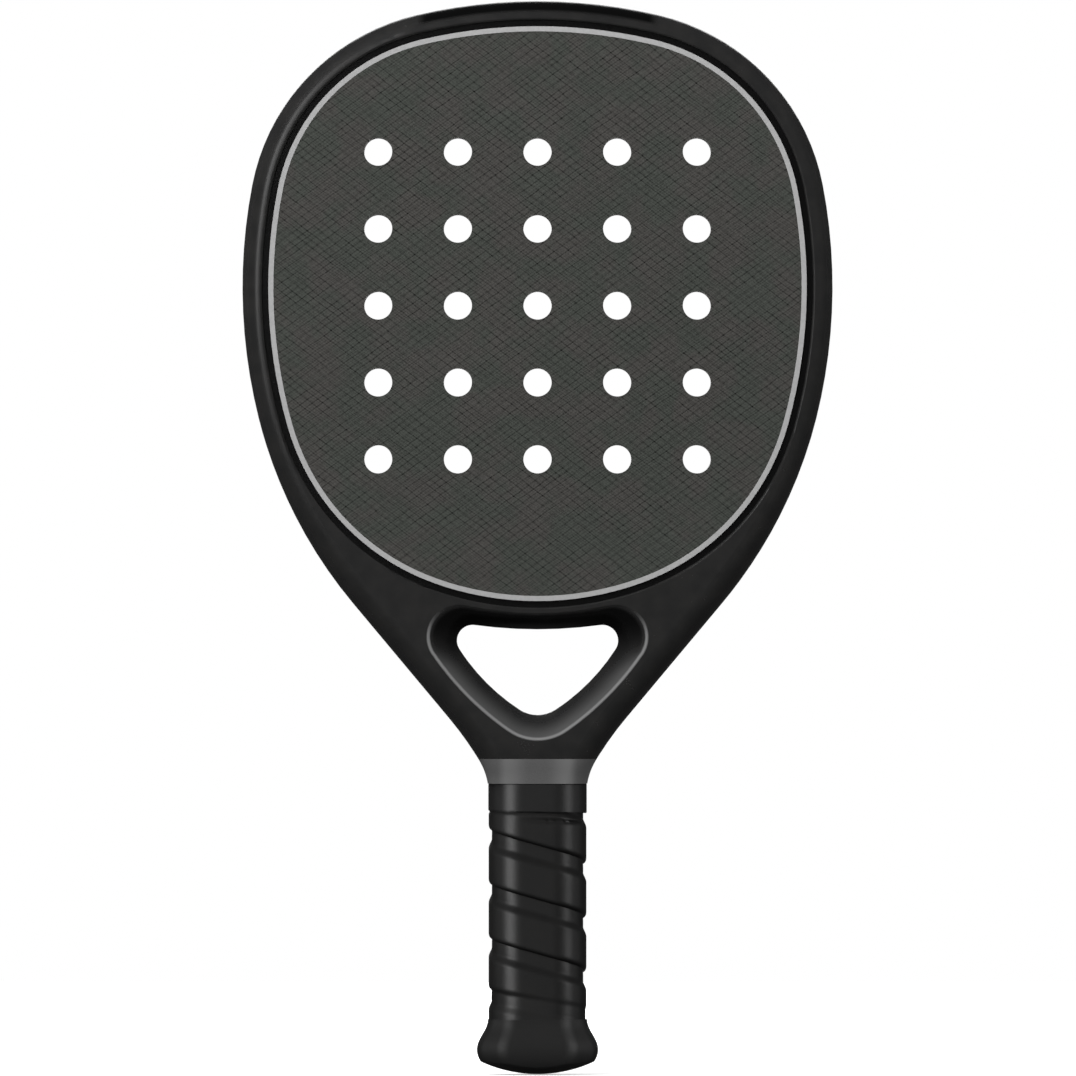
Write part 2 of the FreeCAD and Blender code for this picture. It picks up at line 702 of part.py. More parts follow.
# plug in the open end of the handle tube, with room for the knot of the cord
plug = doc.addObject("PartDesign::Body", "end_plug")
plug_sketch = new_sketch(plug, "end_plug_section", "XY_Plane", TUBE_END)
draw(plug_sketch, octagon(TUBE + WALL, 0), lambda p: Vector(p.x, p.y, 0))
plug_sketch.addGeometry(Part.Circle(Vector(), Vector(0, 0, 1), bore_r + size("cord_clearance")))
plug_pad = plug.newObject("PartDesign::Pad", "end_plug_pad")
plug_pad.Profile = plug_sketch
bound(plug_pad, Length="sizes.plug_length * 1 mm")
pieces["end_plug"] = plug
doc.recompute()

tacks = cap_tacks.Shape
ferrule_seat = tube.Shape.fuse(flange.Shape)
pieces["butt_cap"] = coded("butt_cap", butt_cap.cut(tacks).cut(ferrule_seat))
pieces["base_grip"] = coded("base_grip", base_grip.cut(tacks))
split = Part.makeBox(4 * GRIP_A, 2 * GRIP_B, LENGTH, Vector(-2 * GRIP_A, 0, 0))
pieces["back_pallet"] = coded("back_pallet", pallets.common(split).cut(tacks))
pieces["front_pallet"] = coded("front_pallet", pallets.cut(split).cut(tacks))
doc.recompute()

for item in doc.Objects:
    if "Invalid" in item.State or "Error" in item.State:
        raise RuntimeError("%s did not build: %s" % (item.Name, item.State))

os.makedirs("parts", exist_ok=True)
for name, feature in pieces.items():
    feature.Label = name
    shape = feature.Shape
    if shape.isNull() or not shape.isValid() or not shape.Solids:
        raise RuntimeError(name + " has no valid shape")
    shape.exportStep("parts/%s.step" % name)
    print("%-18s %d solid(s) %9.0f mm3" % (name, len(shape.Solids), shape.Volume))
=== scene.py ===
# %% [markdown]
# # A padel racket, finished in Blender
# The shape of the racket comes from its CAD model and stays as it is. What is left for Blender is
# the look: lacquered carbon, woven face, wound grip, soft light. This cell loads the model and
# keeps its overall box, which the finished racket has to match.

# %% Load the model
import math

import bmesh
import bpy
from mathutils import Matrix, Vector


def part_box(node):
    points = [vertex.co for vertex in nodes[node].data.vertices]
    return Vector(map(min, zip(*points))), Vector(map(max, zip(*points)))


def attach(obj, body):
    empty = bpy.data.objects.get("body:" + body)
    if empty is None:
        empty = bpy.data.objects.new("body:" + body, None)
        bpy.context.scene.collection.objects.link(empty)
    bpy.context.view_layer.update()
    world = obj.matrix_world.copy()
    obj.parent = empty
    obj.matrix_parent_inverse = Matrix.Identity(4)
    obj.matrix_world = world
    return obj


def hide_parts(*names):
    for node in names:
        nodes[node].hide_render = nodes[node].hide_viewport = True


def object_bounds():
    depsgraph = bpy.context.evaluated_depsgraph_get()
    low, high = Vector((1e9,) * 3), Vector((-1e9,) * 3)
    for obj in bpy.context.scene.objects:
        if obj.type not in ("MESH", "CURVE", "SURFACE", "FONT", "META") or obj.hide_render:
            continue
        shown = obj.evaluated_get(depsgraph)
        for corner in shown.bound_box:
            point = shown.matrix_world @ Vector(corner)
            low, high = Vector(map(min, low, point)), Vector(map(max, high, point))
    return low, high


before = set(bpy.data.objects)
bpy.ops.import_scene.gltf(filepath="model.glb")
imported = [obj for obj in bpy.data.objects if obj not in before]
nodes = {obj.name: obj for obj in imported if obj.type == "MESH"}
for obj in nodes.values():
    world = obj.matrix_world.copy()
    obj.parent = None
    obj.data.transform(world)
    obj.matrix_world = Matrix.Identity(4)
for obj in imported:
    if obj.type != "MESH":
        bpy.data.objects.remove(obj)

MM = 0.001
cad_low, cad_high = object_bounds()
print("nodes:", len(nodes), "box in mm:", [round(v / MM, 1) for v in (*cad_low, *cad_high)])

# %% [markdown]
# ## Camera
# The racket stands upright and is seen square from the front. A long lens from far away keeps
# the outline nearly free of perspective, so the round head stays round and the walls of the
# air holes stay hidden.

# %% Place the camera
VIEW_DISTANCE = 12.0
VIEW_WIDTH = 455.85 * MM
VIEW_SHIFT = 0.2 * MM
VIEW_MIDDLE = Vector((VIEW_SHIFT, 0, cad_high.z / 2 - VIEW_SHIFT))
SENSOR = 36.0
EDGE_DEPTH = 12 * MM

camera_data = bpy.data.cameras.new("camera")
camera_data.sensor_width = SENSOR
camera_data.lens = SENSOR * (VIEW_DISTANCE - EDGE_DEPTH) / VIEW_WIDTH
camera_data.clip_end = 3 * VIEW_DISTANCE
camera = bpy.data.objects.new("camera", camera_data)
bpy.context.scene.collection.objects.link(camera)
camera.location = VIEW_MIDDLE - Vector((0, VIEW_DISTANCE, 0))
camera.rotation_euler = (math.radians(90), 0, 0)
bpy.context.scene.camera = camera
bpy.context.scene.view_settings.view_transform = "Standard"
print("lens in mm:", round(camera_data.lens))

# %% [markdown]
# ## Writing materials as sums
# A finish is mostly arithmetic on a few patterns: so much noise, so much weave, a threshold.
# `Value` wraps one socket of a node so that this arithmetic can be typed as a sum, and `Shading`
# adds any other node in a single call. Both keep the finishes below short enough to read.

# %% A socket that can be added and multiplied
class Value:
    """A number that varies over a surface."""

    def __init__(self, shading, socket):
        self.shading = shading
        self.socket = socket

    def math(self, operation, *others):
        made = self.shading.node("ShaderNodeMath", {"operation": operation},
                                 dict(enumerate((self, *others))))
        return Value(self.shading, made.outputs[0])

    def __add__(self, other):
        return self.math("ADD", other)

    def __sub__(self, other):
        return self.math("SUBTRACT", other)

    def __rsub__(self, other):
        return self.math("MULTIPLY", -1.0).math("ADD", other)

    def __mul__(self, other):
        return self.math("MULTIPLY", other)

    def __truediv__(self, other):
        return self.math("DIVIDE", other)

    __radd__ = __add__
    __rmul__ = __mul__

    def fraction(self):
        return self.math("FRACT")

    def size(self):
        return self.math("ABSOLUTE")

    def rise(self, low, high):
        """0 below low, 1 above high, and smooth between them."""
        made = self.shading.node("ShaderNodeMapRange", {"interpolation_type": "SMOOTHSTEP"},
                                 {0: self, 1: low, 2: high})
        return Value(self.shading, made.outputs[0])


# %% A helper that adds nodes
class Shading:
    """The node tree of one material, or of the world."""

    def __init__(self, tree):
        self.tree = tree
        self.tree.nodes.clear()

    def feed(self, socket, value):
        if isinstance(value, Value):
            value = value.socket
        if isinstance(value, bpy.types.NodeSocket):
            self.tree.links.new(value, socket)
        else:
            socket.default_value = value

    def node(self, kind, settings=None, inputs=None):
        made = self.tree.nodes.new(kind)
        for name, value in (settings or {}).items():
            setattr(made, name, value)
        for name, value in (inputs or {}).items():
            self.feed(made.inputs[name], value)
        return made

    def place(self):
        """Position on the racket in millimetres: across, through and up."""
        spot = self.node("ShaderNodeTexCoord").outputs["Object"]
        split = self.node("ShaderNodeSeparateXYZ", inputs={0: spot})
        return [Value(self, out) / MM for out in split.outputs]

    def noise(self, grain, detail=2.0, stretch=(1, 1, 1)):
        """Soft random pattern with features about grain millimetres across, from 0 to 1."""
        spot = self.node("ShaderNodeTexCoord").outputs["Object"]
        scaled = self.node("ShaderNodeVectorMath", {"operation": "MULTIPLY"},
                           {0: spot, 1: [share / (grain * MM) for share in stretch]})
        made = self.node("ShaderNodeTexNoise", inputs={
            "Vector": scaled.outputs[0], "Scale": 1.0, "Detail": detail})
        return Value(self, made.outputs[0])

    def cells(self, grain):
        """Distance from the middle of the nearest of many small cells."""
        spot = self.node("ShaderNodeTexCoord").outputs["Object"]
        made = self.node("ShaderNodeTexVoronoi", inputs={
            "Vector": spot, "Scale": 1 / (grain * MM)})
        return Value(self, made.outputs["Distance"])

    def mix(self, share, low, high):
        """Colour low where share is 0, high where it is 1."""
        made = self.node("ShaderNodeMix", {"data_type": "RGBA"}, {0: share, 6: low, 7: high})
        return made.outputs[2]

    def shade(self, colour, amount):
        """Colour made darker or lighter by a varying amount, 1 leaving it alone."""
        made = self.node("ShaderNodeVectorMath", {"operation": "SCALE"},
                         {0: colour, "Scale": amount})
        return made.outputs[0]

    def bump(self, height, depth):
        """Relief on the surface: height from 0 to 1, depth in millimetres."""
        made = self.node("ShaderNodeBump", inputs={
            "Height": height, "Distance": depth * MM, "Strength": 1.0})
        return made.outputs[0]


def finish(name, **constants):
    """A new material: its node helper and its surface shader."""
    material = bpy.data.materials.new(name)
    material.use_nodes = True
    shading = Shading(material.node_tree)
    surface = shading.node("ShaderNodeBsdfPrincipled", inputs={
        key.replace("_", " ").title().replace("Ior", "IOR"): value
        for key, value in constants.items()})
    shading.node("ShaderNodeOutputMaterial", inputs={0: surface.outputs[0]})
    shading.material = material
    shading.surface = surface.inputs
    return shading


def grey(level, warmth=0.0):
    """A grey as red, green, blue and alpha; a little warmth tips it to red."""
    return (level * (1 + warmth), level, level * (1 - warmth), 1.0)


def wear_finish(material, *names):
    """Puts a finish on CAD nodes."""
    for name in names:
        for slot in nodes[name].material_slots:
            slot.material = material
    print(material.name, "on", ", ".join(names))


# %% [markdown]
# ## Frame: lacquered carbon
# The hoop and throat of a racket are one hollow carbon moulding under black satin lacquer. Black
# lacquer shows its form only by what it mirrors, so the colour is nearly black and the roughness
# does the work. A faint unevenness of the lacquer keeps long highlights from looking machined.
#
# Four areas get a colour of their own, all of it painted light or shade. A painted highlight draws
# a light line along the crest of the scooped recess, a painted sheen makes its lower slopes grey,
# and painted shade makes the groove round the face and the hollow under the bridge blacker than
# the rest. Each is a mask made of ranges over which it turns from 0 to 1.

# %% Frame finish
# the crest as three arcs of the right half: middle (across, up) and radius, in millimetres
CREST_ARCS = (((0.0, 163.1), 21.3), ((-59.9, 249.2), 126.2), ((32.9, 185.5), 13.7))
# directions in which the arcs hand over: the arc to turn about, the turn, the arc that follows
CREST_TURNS = ((0, math.radians(-55.2), 1), (2, math.radians(-34.5), 2))
HANDOVER = (-0.3, 0.3)
# how squarely a surface has to face the front or the back to count as flat
FLAT_FACING = (0.90, 0.99)
# ranges in millimetres: distance past the crest, depth from the middle plane, height, width
GROOVE_DEPTH, HEAD_FROM = (18.25, 18.05), (185, 187)
CREST_SHIFT, CREST_WIDTH, CREST_FACE, CREST_TOP = 0.35, (0.95, 0.2), (18.0, 18.3), (198, 184)
SHEEN_FADE, SHEEN_EDGE, SHEEN_TOP = (-8.6, -0.8), (0.2, -0.6), (184, 168)
BRIDGE_FROM, BRIDGE_SIDE, BRIDGE_IN = (172, 193), (52, 47), (18.9, 18.0)

lacquer = finish("frame_lacquer", specular_ior_level=0.5)
flow = lacquer.noise(9.0, 3.0)
speck = lacquer.noise(0.8, 2.0)
x, y, z = lacquer.place()
facing = lacquer.node("ShaderNodeSeparateXYZ", inputs={
    0: lacquer.node("ShaderNodeNewGeometry").outputs["Normal"]})
flat = Value(lacquer, facing.outputs[1]).size().rise(*FLAT_FACING)
# painted shade: the groove round the face is made blacker than the rest of the frame
groove_painted_shade = flat * y.size().rise(*GROOVE_DEPTH) * z.rise(*HEAD_FROM)

to_arcs = []
for (middle_x, middle_z), radius in CREST_ARCS:
    beside, above = x.size() - middle_x, z - middle_z
    to_arcs.append((beside, above, (beside * beside + above * above).math("SQRT") - radius))
to_crest = to_arcs[0][2]
for base, turn, reached in CREST_TURNS:
    beside, above = to_arcs[base][:2]
    past = (above * math.cos(turn) - beside * math.sin(turn)).rise(*HANDOVER)
    to_crest = to_arcs[reached][2] * past + to_crest * (1 - past)
# painted highlight: a light grey line along the crest of the scooped recess
crest_painted_highlight = (to_crest + CREST_SHIFT).size().rise(*CREST_WIDTH) * y.size().rise(*CREST_FACE)
crest_painted_highlight = crest_painted_highlight * z.rise(*CREST_TOP) * (0.8 + 0.4 * flow)
# painted sheen: the lower slopes of the recess are grey near the crest and fade to black towards
# the hole
recess_painted_sheen = to_crest.rise(*SHEEN_FADE) * to_crest.rise(*SHEEN_EDGE) * z.rise(*SHEEN_TOP)
# painted shade: the hollow under the bridge is made blacker
bridge_painted_shade = z.rise(*BRIDGE_FROM) * x.size().rise(*BRIDGE_SIDE) * y.size().rise(*BRIDGE_IN)

black = lacquer.mix(flow.rise(0.3, 0.7), grey(0.0175), grey(0.0215, 0.02))
# painted sheen, painted shade and painted highlight laid over the black lacquer, each as its own
# grey
for mask, level in ((recess_painted_sheen, 0.064), (bridge_painted_shade, 0.002), (groove_painted_shade, 0.002), (crest_painted_highlight, 0.20)):
    black = lacquer.mix(mask, black, grey(level))
lacquer.feed(lacquer.surface["Base Color"], black)
lacquer.feed(lacquer.surface["Roughness"],
             0.22 + 0.05 * flow + 0.03 * speck + 0.2 * crest_painted_highlight + 0.2 * recess_painted_sheen)
lacquer.feed(lacquer.surface["Normal"], lacquer.bump(speck + flow, 0.002))
wear_finish(lacquer.material, "frame_shell")

# %% [markdown]
# ## Face: woven carbon
# Each face is carbon cloth pressed in clear resin. Two sets of threads cross at a slant, nearly
# 75 degrees apart. The dark lines between threads are the edges of unevenly spaced strips, coarse
# ones and fine ones, and a slow pattern lets now one and now the other show, as in real cloth.

# %% Woven face finish
SLANT_UP = math.radians(36)
SLANT_DOWN = math.radians(-38)
COARSE, COARSE_LINE = 2.9, 0.42
FINE, FINE_LINE = 1.1, 0.30
THREAD_SWAY = 0.8

weave = finish("woven_carbon", specular_ior_level=0.42)
across, _, up = weave.place()
sway = weave.noise(9.0, 1.0)


def threads(slant, spacing, line, seed):
    """Dark lines between the threads of one set, unevenly spaced and a little wavy."""
    run = (up * (math.cos(slant) / spacing) - across * (math.sin(slant) / spacing)
           + sway * (THREAD_SWAY / spacing) + seed)
    gaps = weave.node("ShaderNodeTexVoronoi",
                      {"voronoi_dimensions": "1D", "feature": "DISTANCE_TO_EDGE"},
                      {"W": run, "Scale": 1.0, "Randomness": 0.7})
    return Value(weave, gaps.outputs["Distance"]).rise(line / spacing, 0.25 * line / spacing)


line_a = threads(SLANT_UP, COARSE, COARSE_LINE, 40.0)
line_b = threads(SLANT_DOWN, COARSE * 1.1, COARSE_LINE, 90.0)
hair_a = threads(SLANT_UP * 0.95, FINE, FINE_LINE, 140.0)
hair_b = threads(SLANT_DOWN * 0.95, FINE, FINE_LINE, 190.0)
patch = weave.noise(13.0, 2.0)
cloud = weave.noise(38.0, 1.0)
fade = weave.noise(7.0, 2.0).rise(0.3, 0.7)
grit = weave.noise(0.8, 2.0)
cloth = weave.mix(patch.rise(0.35, 0.65),
                  (0.0490, 0.0535, 0.0475, 1), (0.0560, 0.0540, 0.0505, 1))
brightness = (1.32 + 1.05 * (grit - 0.5) + 0.12 * (cloud - 0.5)
              - (line_a + line_b) * (0.17 + 0.32 * fade)
              - (hair_a + hair_b) * (0.31 - 0.16 * fade))
weave.feed(weave.surface["Base Color"], weave.shade(cloth, brightness))
weave.feed(weave.surface["Roughness"], 0.46 + 0.08 * patch + 0.06 * line_a)
weave.feed(weave.surface["Normal"],
           weave.bump(grit * 0.6 - line_a * 0.5 - line_b * 0.5 - (hair_a + hair_b) * 0.3, 0.03))
wear_finish(weave.material, "front_carbon_ply", "back_carbon_ply")

# %% [markdown]
# ## Line and collar: grey plastic film and ring
# A narrow light grey film runs round each face, and a grey satin ring closes the throat above the
# grip. Film is flat and dull. The ring is a moulding with a hint of metal flake in it, and a
# highlight is painted into its colour towards its two front edges.

# %% Film and collar finishes
film = finish("grey_film", specular_ior_level=0.3)
fibre = film.noise(1.2, 3.0)
film.feed(film.surface["Base Color"],
          film.mix(fibre.rise(0.3, 0.7), grey(0.40), grey(0.44)))
film.feed(film.surface["Roughness"], 0.5 + 0.12 * fibre)
film.feed(film.surface["Normal"], film.bump(fibre, 0.01))
wear_finish(film.material, "front_border_line", "back_border_line")

ring = finish("collar_grey", specular_ior_level=0.5, metallic=0.35)
flake = ring.noise(0.35, 2.0)
# where the painted highlight along the ring's two front edges starts and ends, across from the
# middle in millimetres
EDGE_INNER, EDGE_OUTER = (3.0, 12.5), (17.5, 13.0)
ring_x = ring.place()[0].size()
painted_edge_highlight = ring_x.rise(*EDGE_INNER) * ring_x.rise(*EDGE_OUTER)
satin = ring.mix(flake.rise(0.25, 0.75), grey(0.165), grey(0.200))
ring.feed(ring.surface["Base Color"], ring.mix(painted_edge_highlight, satin, grey(0.275)))
ring.feed(ring.surface["Roughness"], 0.28 + 0.08 * flake)
ring.feed(ring.surface["Normal"], ring.bump(flake, 0.006))
wear_finish(ring.material, "collar")

# %% [markdown]
# ## Butt cap: soft black rubber
# The cap is moulded in a firm rubber-like plastic with a very fine spark-eroded texture, so its
# highlights are broad and dim. Below its widest part it is duller, and painted shade makes it
# blacker.

# %% Cap, plug and ferrule finishes
rubber = finish("cap_rubber", specular_ior_level=0.45)
grain = rubber.noise(0.5, 3.0)
broad = rubber.noise(12.0, 2.0)
# painted shade: heights in millimetres over which the cap's colour darkens towards its bottom
BELLY_FADE = (9.0, 2.5)
painted_shade_under_belly = rubber.place()[2].rise(*BELLY_FADE)
rubber_black = rubber.mix(broad, grey(0.0070), grey(0.0090, 0.02))
rubber.feed(rubber.surface["Base Color"], rubber.mix(painted_shade_under_belly, rubber_black, grey(0.0015)))
rubber.feed(rubber.surface["Roughness"], 0.50 + 0.08 * grain + 0.25 * painted_shade_under_belly)
rubber.feed(rubber.surface["Normal"], rubber.bump(grain, 0.01))
wear_finish(rubber.material, "butt_cap", "end_plug")

bush = finish("ferrule_black", specular_ior_level=0.5)
tooled = bush.noise(0.6, 2.0, stretch=(1, 1, 6))
bush.feed(bush.surface["Base Color"], bush.mix(tooled, grey(0.016), grey(0.022)))
bush.feed(bush.surface["Roughness"], 0.28 + 0.12 * tooled)
bush.feed(bush.surface["Normal"], bush.bump(tooled, 0.006))
wear_finish(bush.material, "cord_ferrule")

steel = finish("tack_steel", specular_ior_level=0.5, metallic=1.0)
brush = steel.noise(0.3, 2.0)
steel.feed(steel.surface["Base Color"], steel.mix(brush, grey(0.42), grey(0.52, 0.02)))
steel.feed(steel.surface["Roughness"], 0.25 + 0.15 * brush)
wear_finish(steel.material, "cap_tacks")

# %% [markdown]
# ## Foams and layers inside
# The core of a racket is EVA foam, which shows in the walls of the air holes. The tubes are filled
# with a lighter foam. Both are heaps of tiny closed cells, drawn here with a cell pattern of the
# right grain for each.

# %% Foam finishes
def foam(name, cell, level, warmth, covers):
    """A closed-cell foam with cells of a given size in millimetres."""
    made = finish(name, specular_ior_level=0.25)
    wall = made.cells(cell).rise(0.15, 0.75)
    tint = made.noise(20 * cell, 2.0)
    made.feed(made.surface["Base Color"], made.mix(
        wall * 0.7 + tint * 0.3, grey(level, warmth), grey(level * 0.86, warmth)))
    made.feed(made.surface["Roughness"], 0.78 + 0.15 * wall)
    made.feed(made.surface["Normal"], made.bump(1 - wall, cell * 0.3))
    wear_finish(made.material, *covers)


foam("core_foam", 0.45, 0.74, 0.01, ["core"])
foam("tube_foam", 0.9, 0.62, 0.05, ["head_foam", "bridge_foam", "throat_foam", "handle_foam"])
foam("pallet_foam", 0.7, 0.10, 0.0, ["front_pallet", "back_pallet"])
foam("cushion_foam", 0.5, 0.045, 0.0, ["base_grip"])

YARN = 1.4
glass = finish("glass_cloth", specular_ior_level=0.4)
yarn_x, _, yarn_z = glass.place()
warp = ((yarn_x / YARN).fraction() - 0.5).size()
weft = ((yarn_z / YARN).fraction() - 0.5).size()
glass.feed(glass.surface["Base Color"], glass.mix(
    warp + weft, (0.42, 0.46, 0.38, 1), (0.30, 0.34, 0.27, 1)))
glass.feed(glass.surface["Roughness"], 0.4 + 0.3 * warp)
glass.feed(glass.surface["Normal"], glass.bump(warp + weft, 0.05))
wear_finish(glass.material, "front_glass_ply", "back_glass_ply")

# %% [markdown]
# ## Grip section
# A racket handle is an octagon with soft corners. `grip_section` walks once round it, from the
# right edge by way of the back, and notes at each stop the point and the outward direction. A
# wrap or a tape is then only a matter of moving these stops in or out.

# %% Walk round the grip
wrap_low, wrap_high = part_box("overgrip")
tape_low, tape_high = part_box("finishing_tape")
HALF_FLAT = 12 * MM
CORNER_R = 11.5 * MM
ARC_STEPS = 6
FLAT_STEP = 1.6 * MM
SIDE_TURN = math.radians(45)


def grip_section(half_x, half_y):
    """Points and outward directions round the handle."""
    reach = HALF_FLAT + half_y
    quarter = [(half_x, reach - half_x), (HALF_FLAT, half_y)]
    corners = quarter + [(-x, y) for x, y in reversed(quarter)]
    corners += [(-x, -y) for x, y in corners]
    trim = CORNER_R * math.tan(SIDE_TURN / 2)
    stops = []
    previous = Vector((half_x, 0))
    for i, corner in enumerate(corners):
        flat_angle = SIDE_TURN * i
        normal = Vector((math.cos(flat_angle), math.sin(flat_angle)))
        along = Vector((-normal.y, normal.x))
        start = Vector(corner) - along * trim
        steps = max(1, round((start - previous).length / FLAT_STEP))
        stops += [(previous.lerp(start, k / steps), normal) for k in range(steps)]
        centre = start - normal * CORNER_R
        for k in range(ARC_STEPS):
            turn = flat_angle + SIDE_TURN * k / ARC_STEPS
            outward = Vector((math.cos(turn), math.sin(turn)))
            stops.append((centre + outward * CORNER_R, outward))
        last = flat_angle + SIDE_TURN
        previous = centre + Vector((math.cos(last), math.sin(last))) * CORNER_R
    steps = max(1, round((previous - Vector((half_x, 0))).length / FLAT_STEP))
    stops += [(previous.lerp(Vector((half_x, 0)), k / steps), Vector((1, 0)))
              for k in range(steps)]
    return stops


section = grip_section(wrap_high.x, wrap_high.y)
print("stops round the grip:", len(section))

# %% [markdown]
# ## Overgrip: one strip wound in a spiral
# The strip winds down the handle with a gap of about 7 mm between its turns, and each turn keeps
# a soft rolled edge. The mesh is a grid whose rows run along the spiral, so the edges are crisp
# wherever they go, and rows crowd together where the surface turns. The last turn lies flatter,
# because the winding starts level at the cap.

# %% Shape of the gap between turns
# sizes in millimetres, turns counted from the right edge of the grip
PITCH = 23.0
GAP_HALF, GAP_DEPTH = 3.5, 1.5
EDGE_ROLL, LOWER_ROLL = 2.0, 2.2
FIRST_GAP = 110.9
TILT = math.tan(math.radians(3.9))
GAPS = range(-1, 5)
# the last turn: where it starts, its lower pitch, how much of its depth goes and how soon,
# and where the rest of the depth goes
FLAT_FROM, FLAT_PITCH = 3.42, 11.0
FLAT_LOSS, FLAT_EASE, FLAT_END = 0.72, 0.42, (0.75, 1.1)
TAPE_SLOPE = 0.024
# thin creases: height at the middle, slope, depth, width; then, for the first two, where each
# fades in across the grip and how far round the front both reach
START_CREASE = (107.6, 0.03, 0.9, 0.6)
TAIL_CREASE = (25.9, 0.19, 0.6, 0.5)
TAPE_CREASE = (tape_low.z / MM, TAPE_SLOPE, 0.9, 0.7)
CREASE_ENDS = ((-8.0, 4.0), (8.0, -8.0))
FRONT_ONLY = (2.0, 8.0)


def smooth(low, high, value):
    share = min(1.0, max(0.0, (value - low) / (high - low)))
    return share * share * (3 - 2 * share)


def gap_profile(above):
    """How deep the surface lies, by the height above the middle of the gap."""
    if above >= GAP_HALF:
        share = min(1.0, (above - GAP_HALF) / EDGE_ROLL)
        return GAP_DEPTH * (1 - math.sqrt(1 - (1 - share) ** 2))
    if above >= -GAP_HALF + LOWER_ROLL:
        return GAP_DEPTH * (0.9 + 0.1 * (above / GAP_HALF) ** 2)
    return 0.95 * GAP_DEPTH * smooth(-GAP_HALF - LOWER_ROLL, -GAP_HALF + LOWER_ROLL, above)


def crease(x, z, line):
    """Depth of a thin crease that slopes across the grip."""
    middle, slope, depth, width = line
    return depth * math.exp(-((z - (middle - slope * x)) / width) ** 2)


def wrap_depth(x, y, z):
    """Depth of the wrap below the plain grip, all in millimetres."""
    turn = math.atan2(y, x) / (2 * math.pi) % 1.0
    deepest = 0.0
    for gap in GAPS:
        turns = gap + turn
        if turns <= FLAT_FROM:
            middle = FIRST_GAP - PITCH * turns
            strength = 1.0
        else:
            middle = FIRST_GAP - PITCH * FLAT_FROM - FLAT_PITCH * (turns - FLAT_FROM)
            strength = 1 - FLAT_LOSS * smooth(0.0, FLAT_EASE, turns - FLAT_FROM)
            strength *= 1 - smooth(*FLAT_END, turns - FLAT_FROM)
        deepest = max(deepest, strength * gap_profile(z - middle + x * TILT))
    front = smooth(*FRONT_ONLY, -y)
    for line, ends in zip((START_CREASE, TAIL_CREASE), CREASE_ENDS):
        deepest = max(deepest, front * smooth(*ends, x) * crease(x, z, line))
    return max(deepest, crease(x, z, TAPE_CREASE))


# %% Build the wrap
CLOSEST_ROW, ROW_GROWTH, WIDEST_ROW = 0.14, 0.30, 0.85
WELD = 0.01 * MM


def spiral_rows():
    """Heights of the rows over one turn, crowded near the edges of the gap."""
    rows = [PITCH / 2]
    while rows[-1] > -PITCH / 2:
        edge = abs(abs(rows[-1]) - GAP_HALF)
        rows.append(rows[-1] - min(WIDEST_ROW, CLOSEST_ROW + ROW_GROWTH * edge))
    stretch = PITCH / (rows[0] - rows[-1])
    return [PITCH / 2 - (PITCH / 2 - row) * stretch for row in rows[:-1]]


def smooth_mesh(name, made, material, node, crisp=50):
    """Turns a finished bmesh into a piece that stands for a CAD node."""
    bmesh.ops.remove_doubles(made, verts=made.verts, dist=WELD)
    bmesh.ops.recalc_face_normals(made, faces=made.faces)
    mesh = bpy.data.meshes.new(name)
    made.to_mesh(mesh)
    made.free()
    mesh.shade_smooth()
    mesh.set_sharp_from_angle(angle=math.radians(crisp))
    mesh.materials.append(material)
    piece = bpy.data.objects.new(name, mesh)
    bpy.context.scene.collection.objects.link(piece)
    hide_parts(node)
    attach(piece, "root")
    print(name, "faces:", len(mesh.polygons))
    return piece


def loop_at(made, inset, height):
    """A closed loop of points round the grip, moved in by an inset."""
    return [made.verts.new((*(point - normal * inset), height)) for point, normal in section]


def skin_between(made, upper, lower):
    for k in range(len(upper)):
        after = (k + 1) % len(upper)
        made.faces.new((upper[k], upper[after], lower[after], lower[k]))


def build_wrap():
    made = bmesh.new()
    pattern = spiral_rows()
    per_turn = len(pattern)
    turns = math.ceil((FIRST_GAP - wrap_low.z / MM) / PITCH) + 2
    grid = []
    for row in range(per_turn * turns):
        base = FIRST_GAP + PITCH + pattern[row % per_turn] - PITCH * (row // per_turn)
        line = []
        for point, normal in section:
            x, y = point.x / MM, point.y / MM
            turn = math.atan2(y, x) / (2 * math.pi) % 1.0
            z = base - PITCH * turn - x * TILT
            inside = point - normal * wrap_depth(x, y, z) * MM
            line.append(made.verts.new((inside.x, inside.y, z * MM)))
        grid.append(line)
    for row in range(len(grid) - 1):
        for k in range(len(section) - 1):
            made.faces.new((grid[row][k], grid[row][k + 1],
                            grid[row + 1][k + 1], grid[row + 1][k]))
    for row in range(len(grid) - 1 - per_turn):
        made.faces.new((grid[row][-1], grid[row + per_turn][0],
                        grid[row + per_turn + 1][0], grid[row + 1][-1]))
    for height, side in ((tape_low.z, 1), (wrap_low.z, -1)):
        everything = made.verts[:] + made.edges[:] + made.faces[:]
        bmesh.ops.bisect_plane(made, geom=everything, dist=WELD / 10, plane_co=(0, 0, height),
                               plane_no=(0, 0, side), clear_outer=True)
    return made


wrap = build_wrap()
print("wrap faces before closing:", len(wrap.faces))

# %% [markdown]
# The strip has to be a closed solid, not a paper shell. Its upper end runs on, thinner, under the
# finishing tape up to the collar, and a plain inner wall sits against the cushion below.

# %% Close the wrap
UNDER_TAPE = 0.36 * MM
WRAP_WALL = 2.2 * MM


def rim_edges(made, height):
    return [edge for edge in made.edges if edge.is_boundary
            and all(abs(vert.co.z - height) < WELD for vert in edge.verts)]


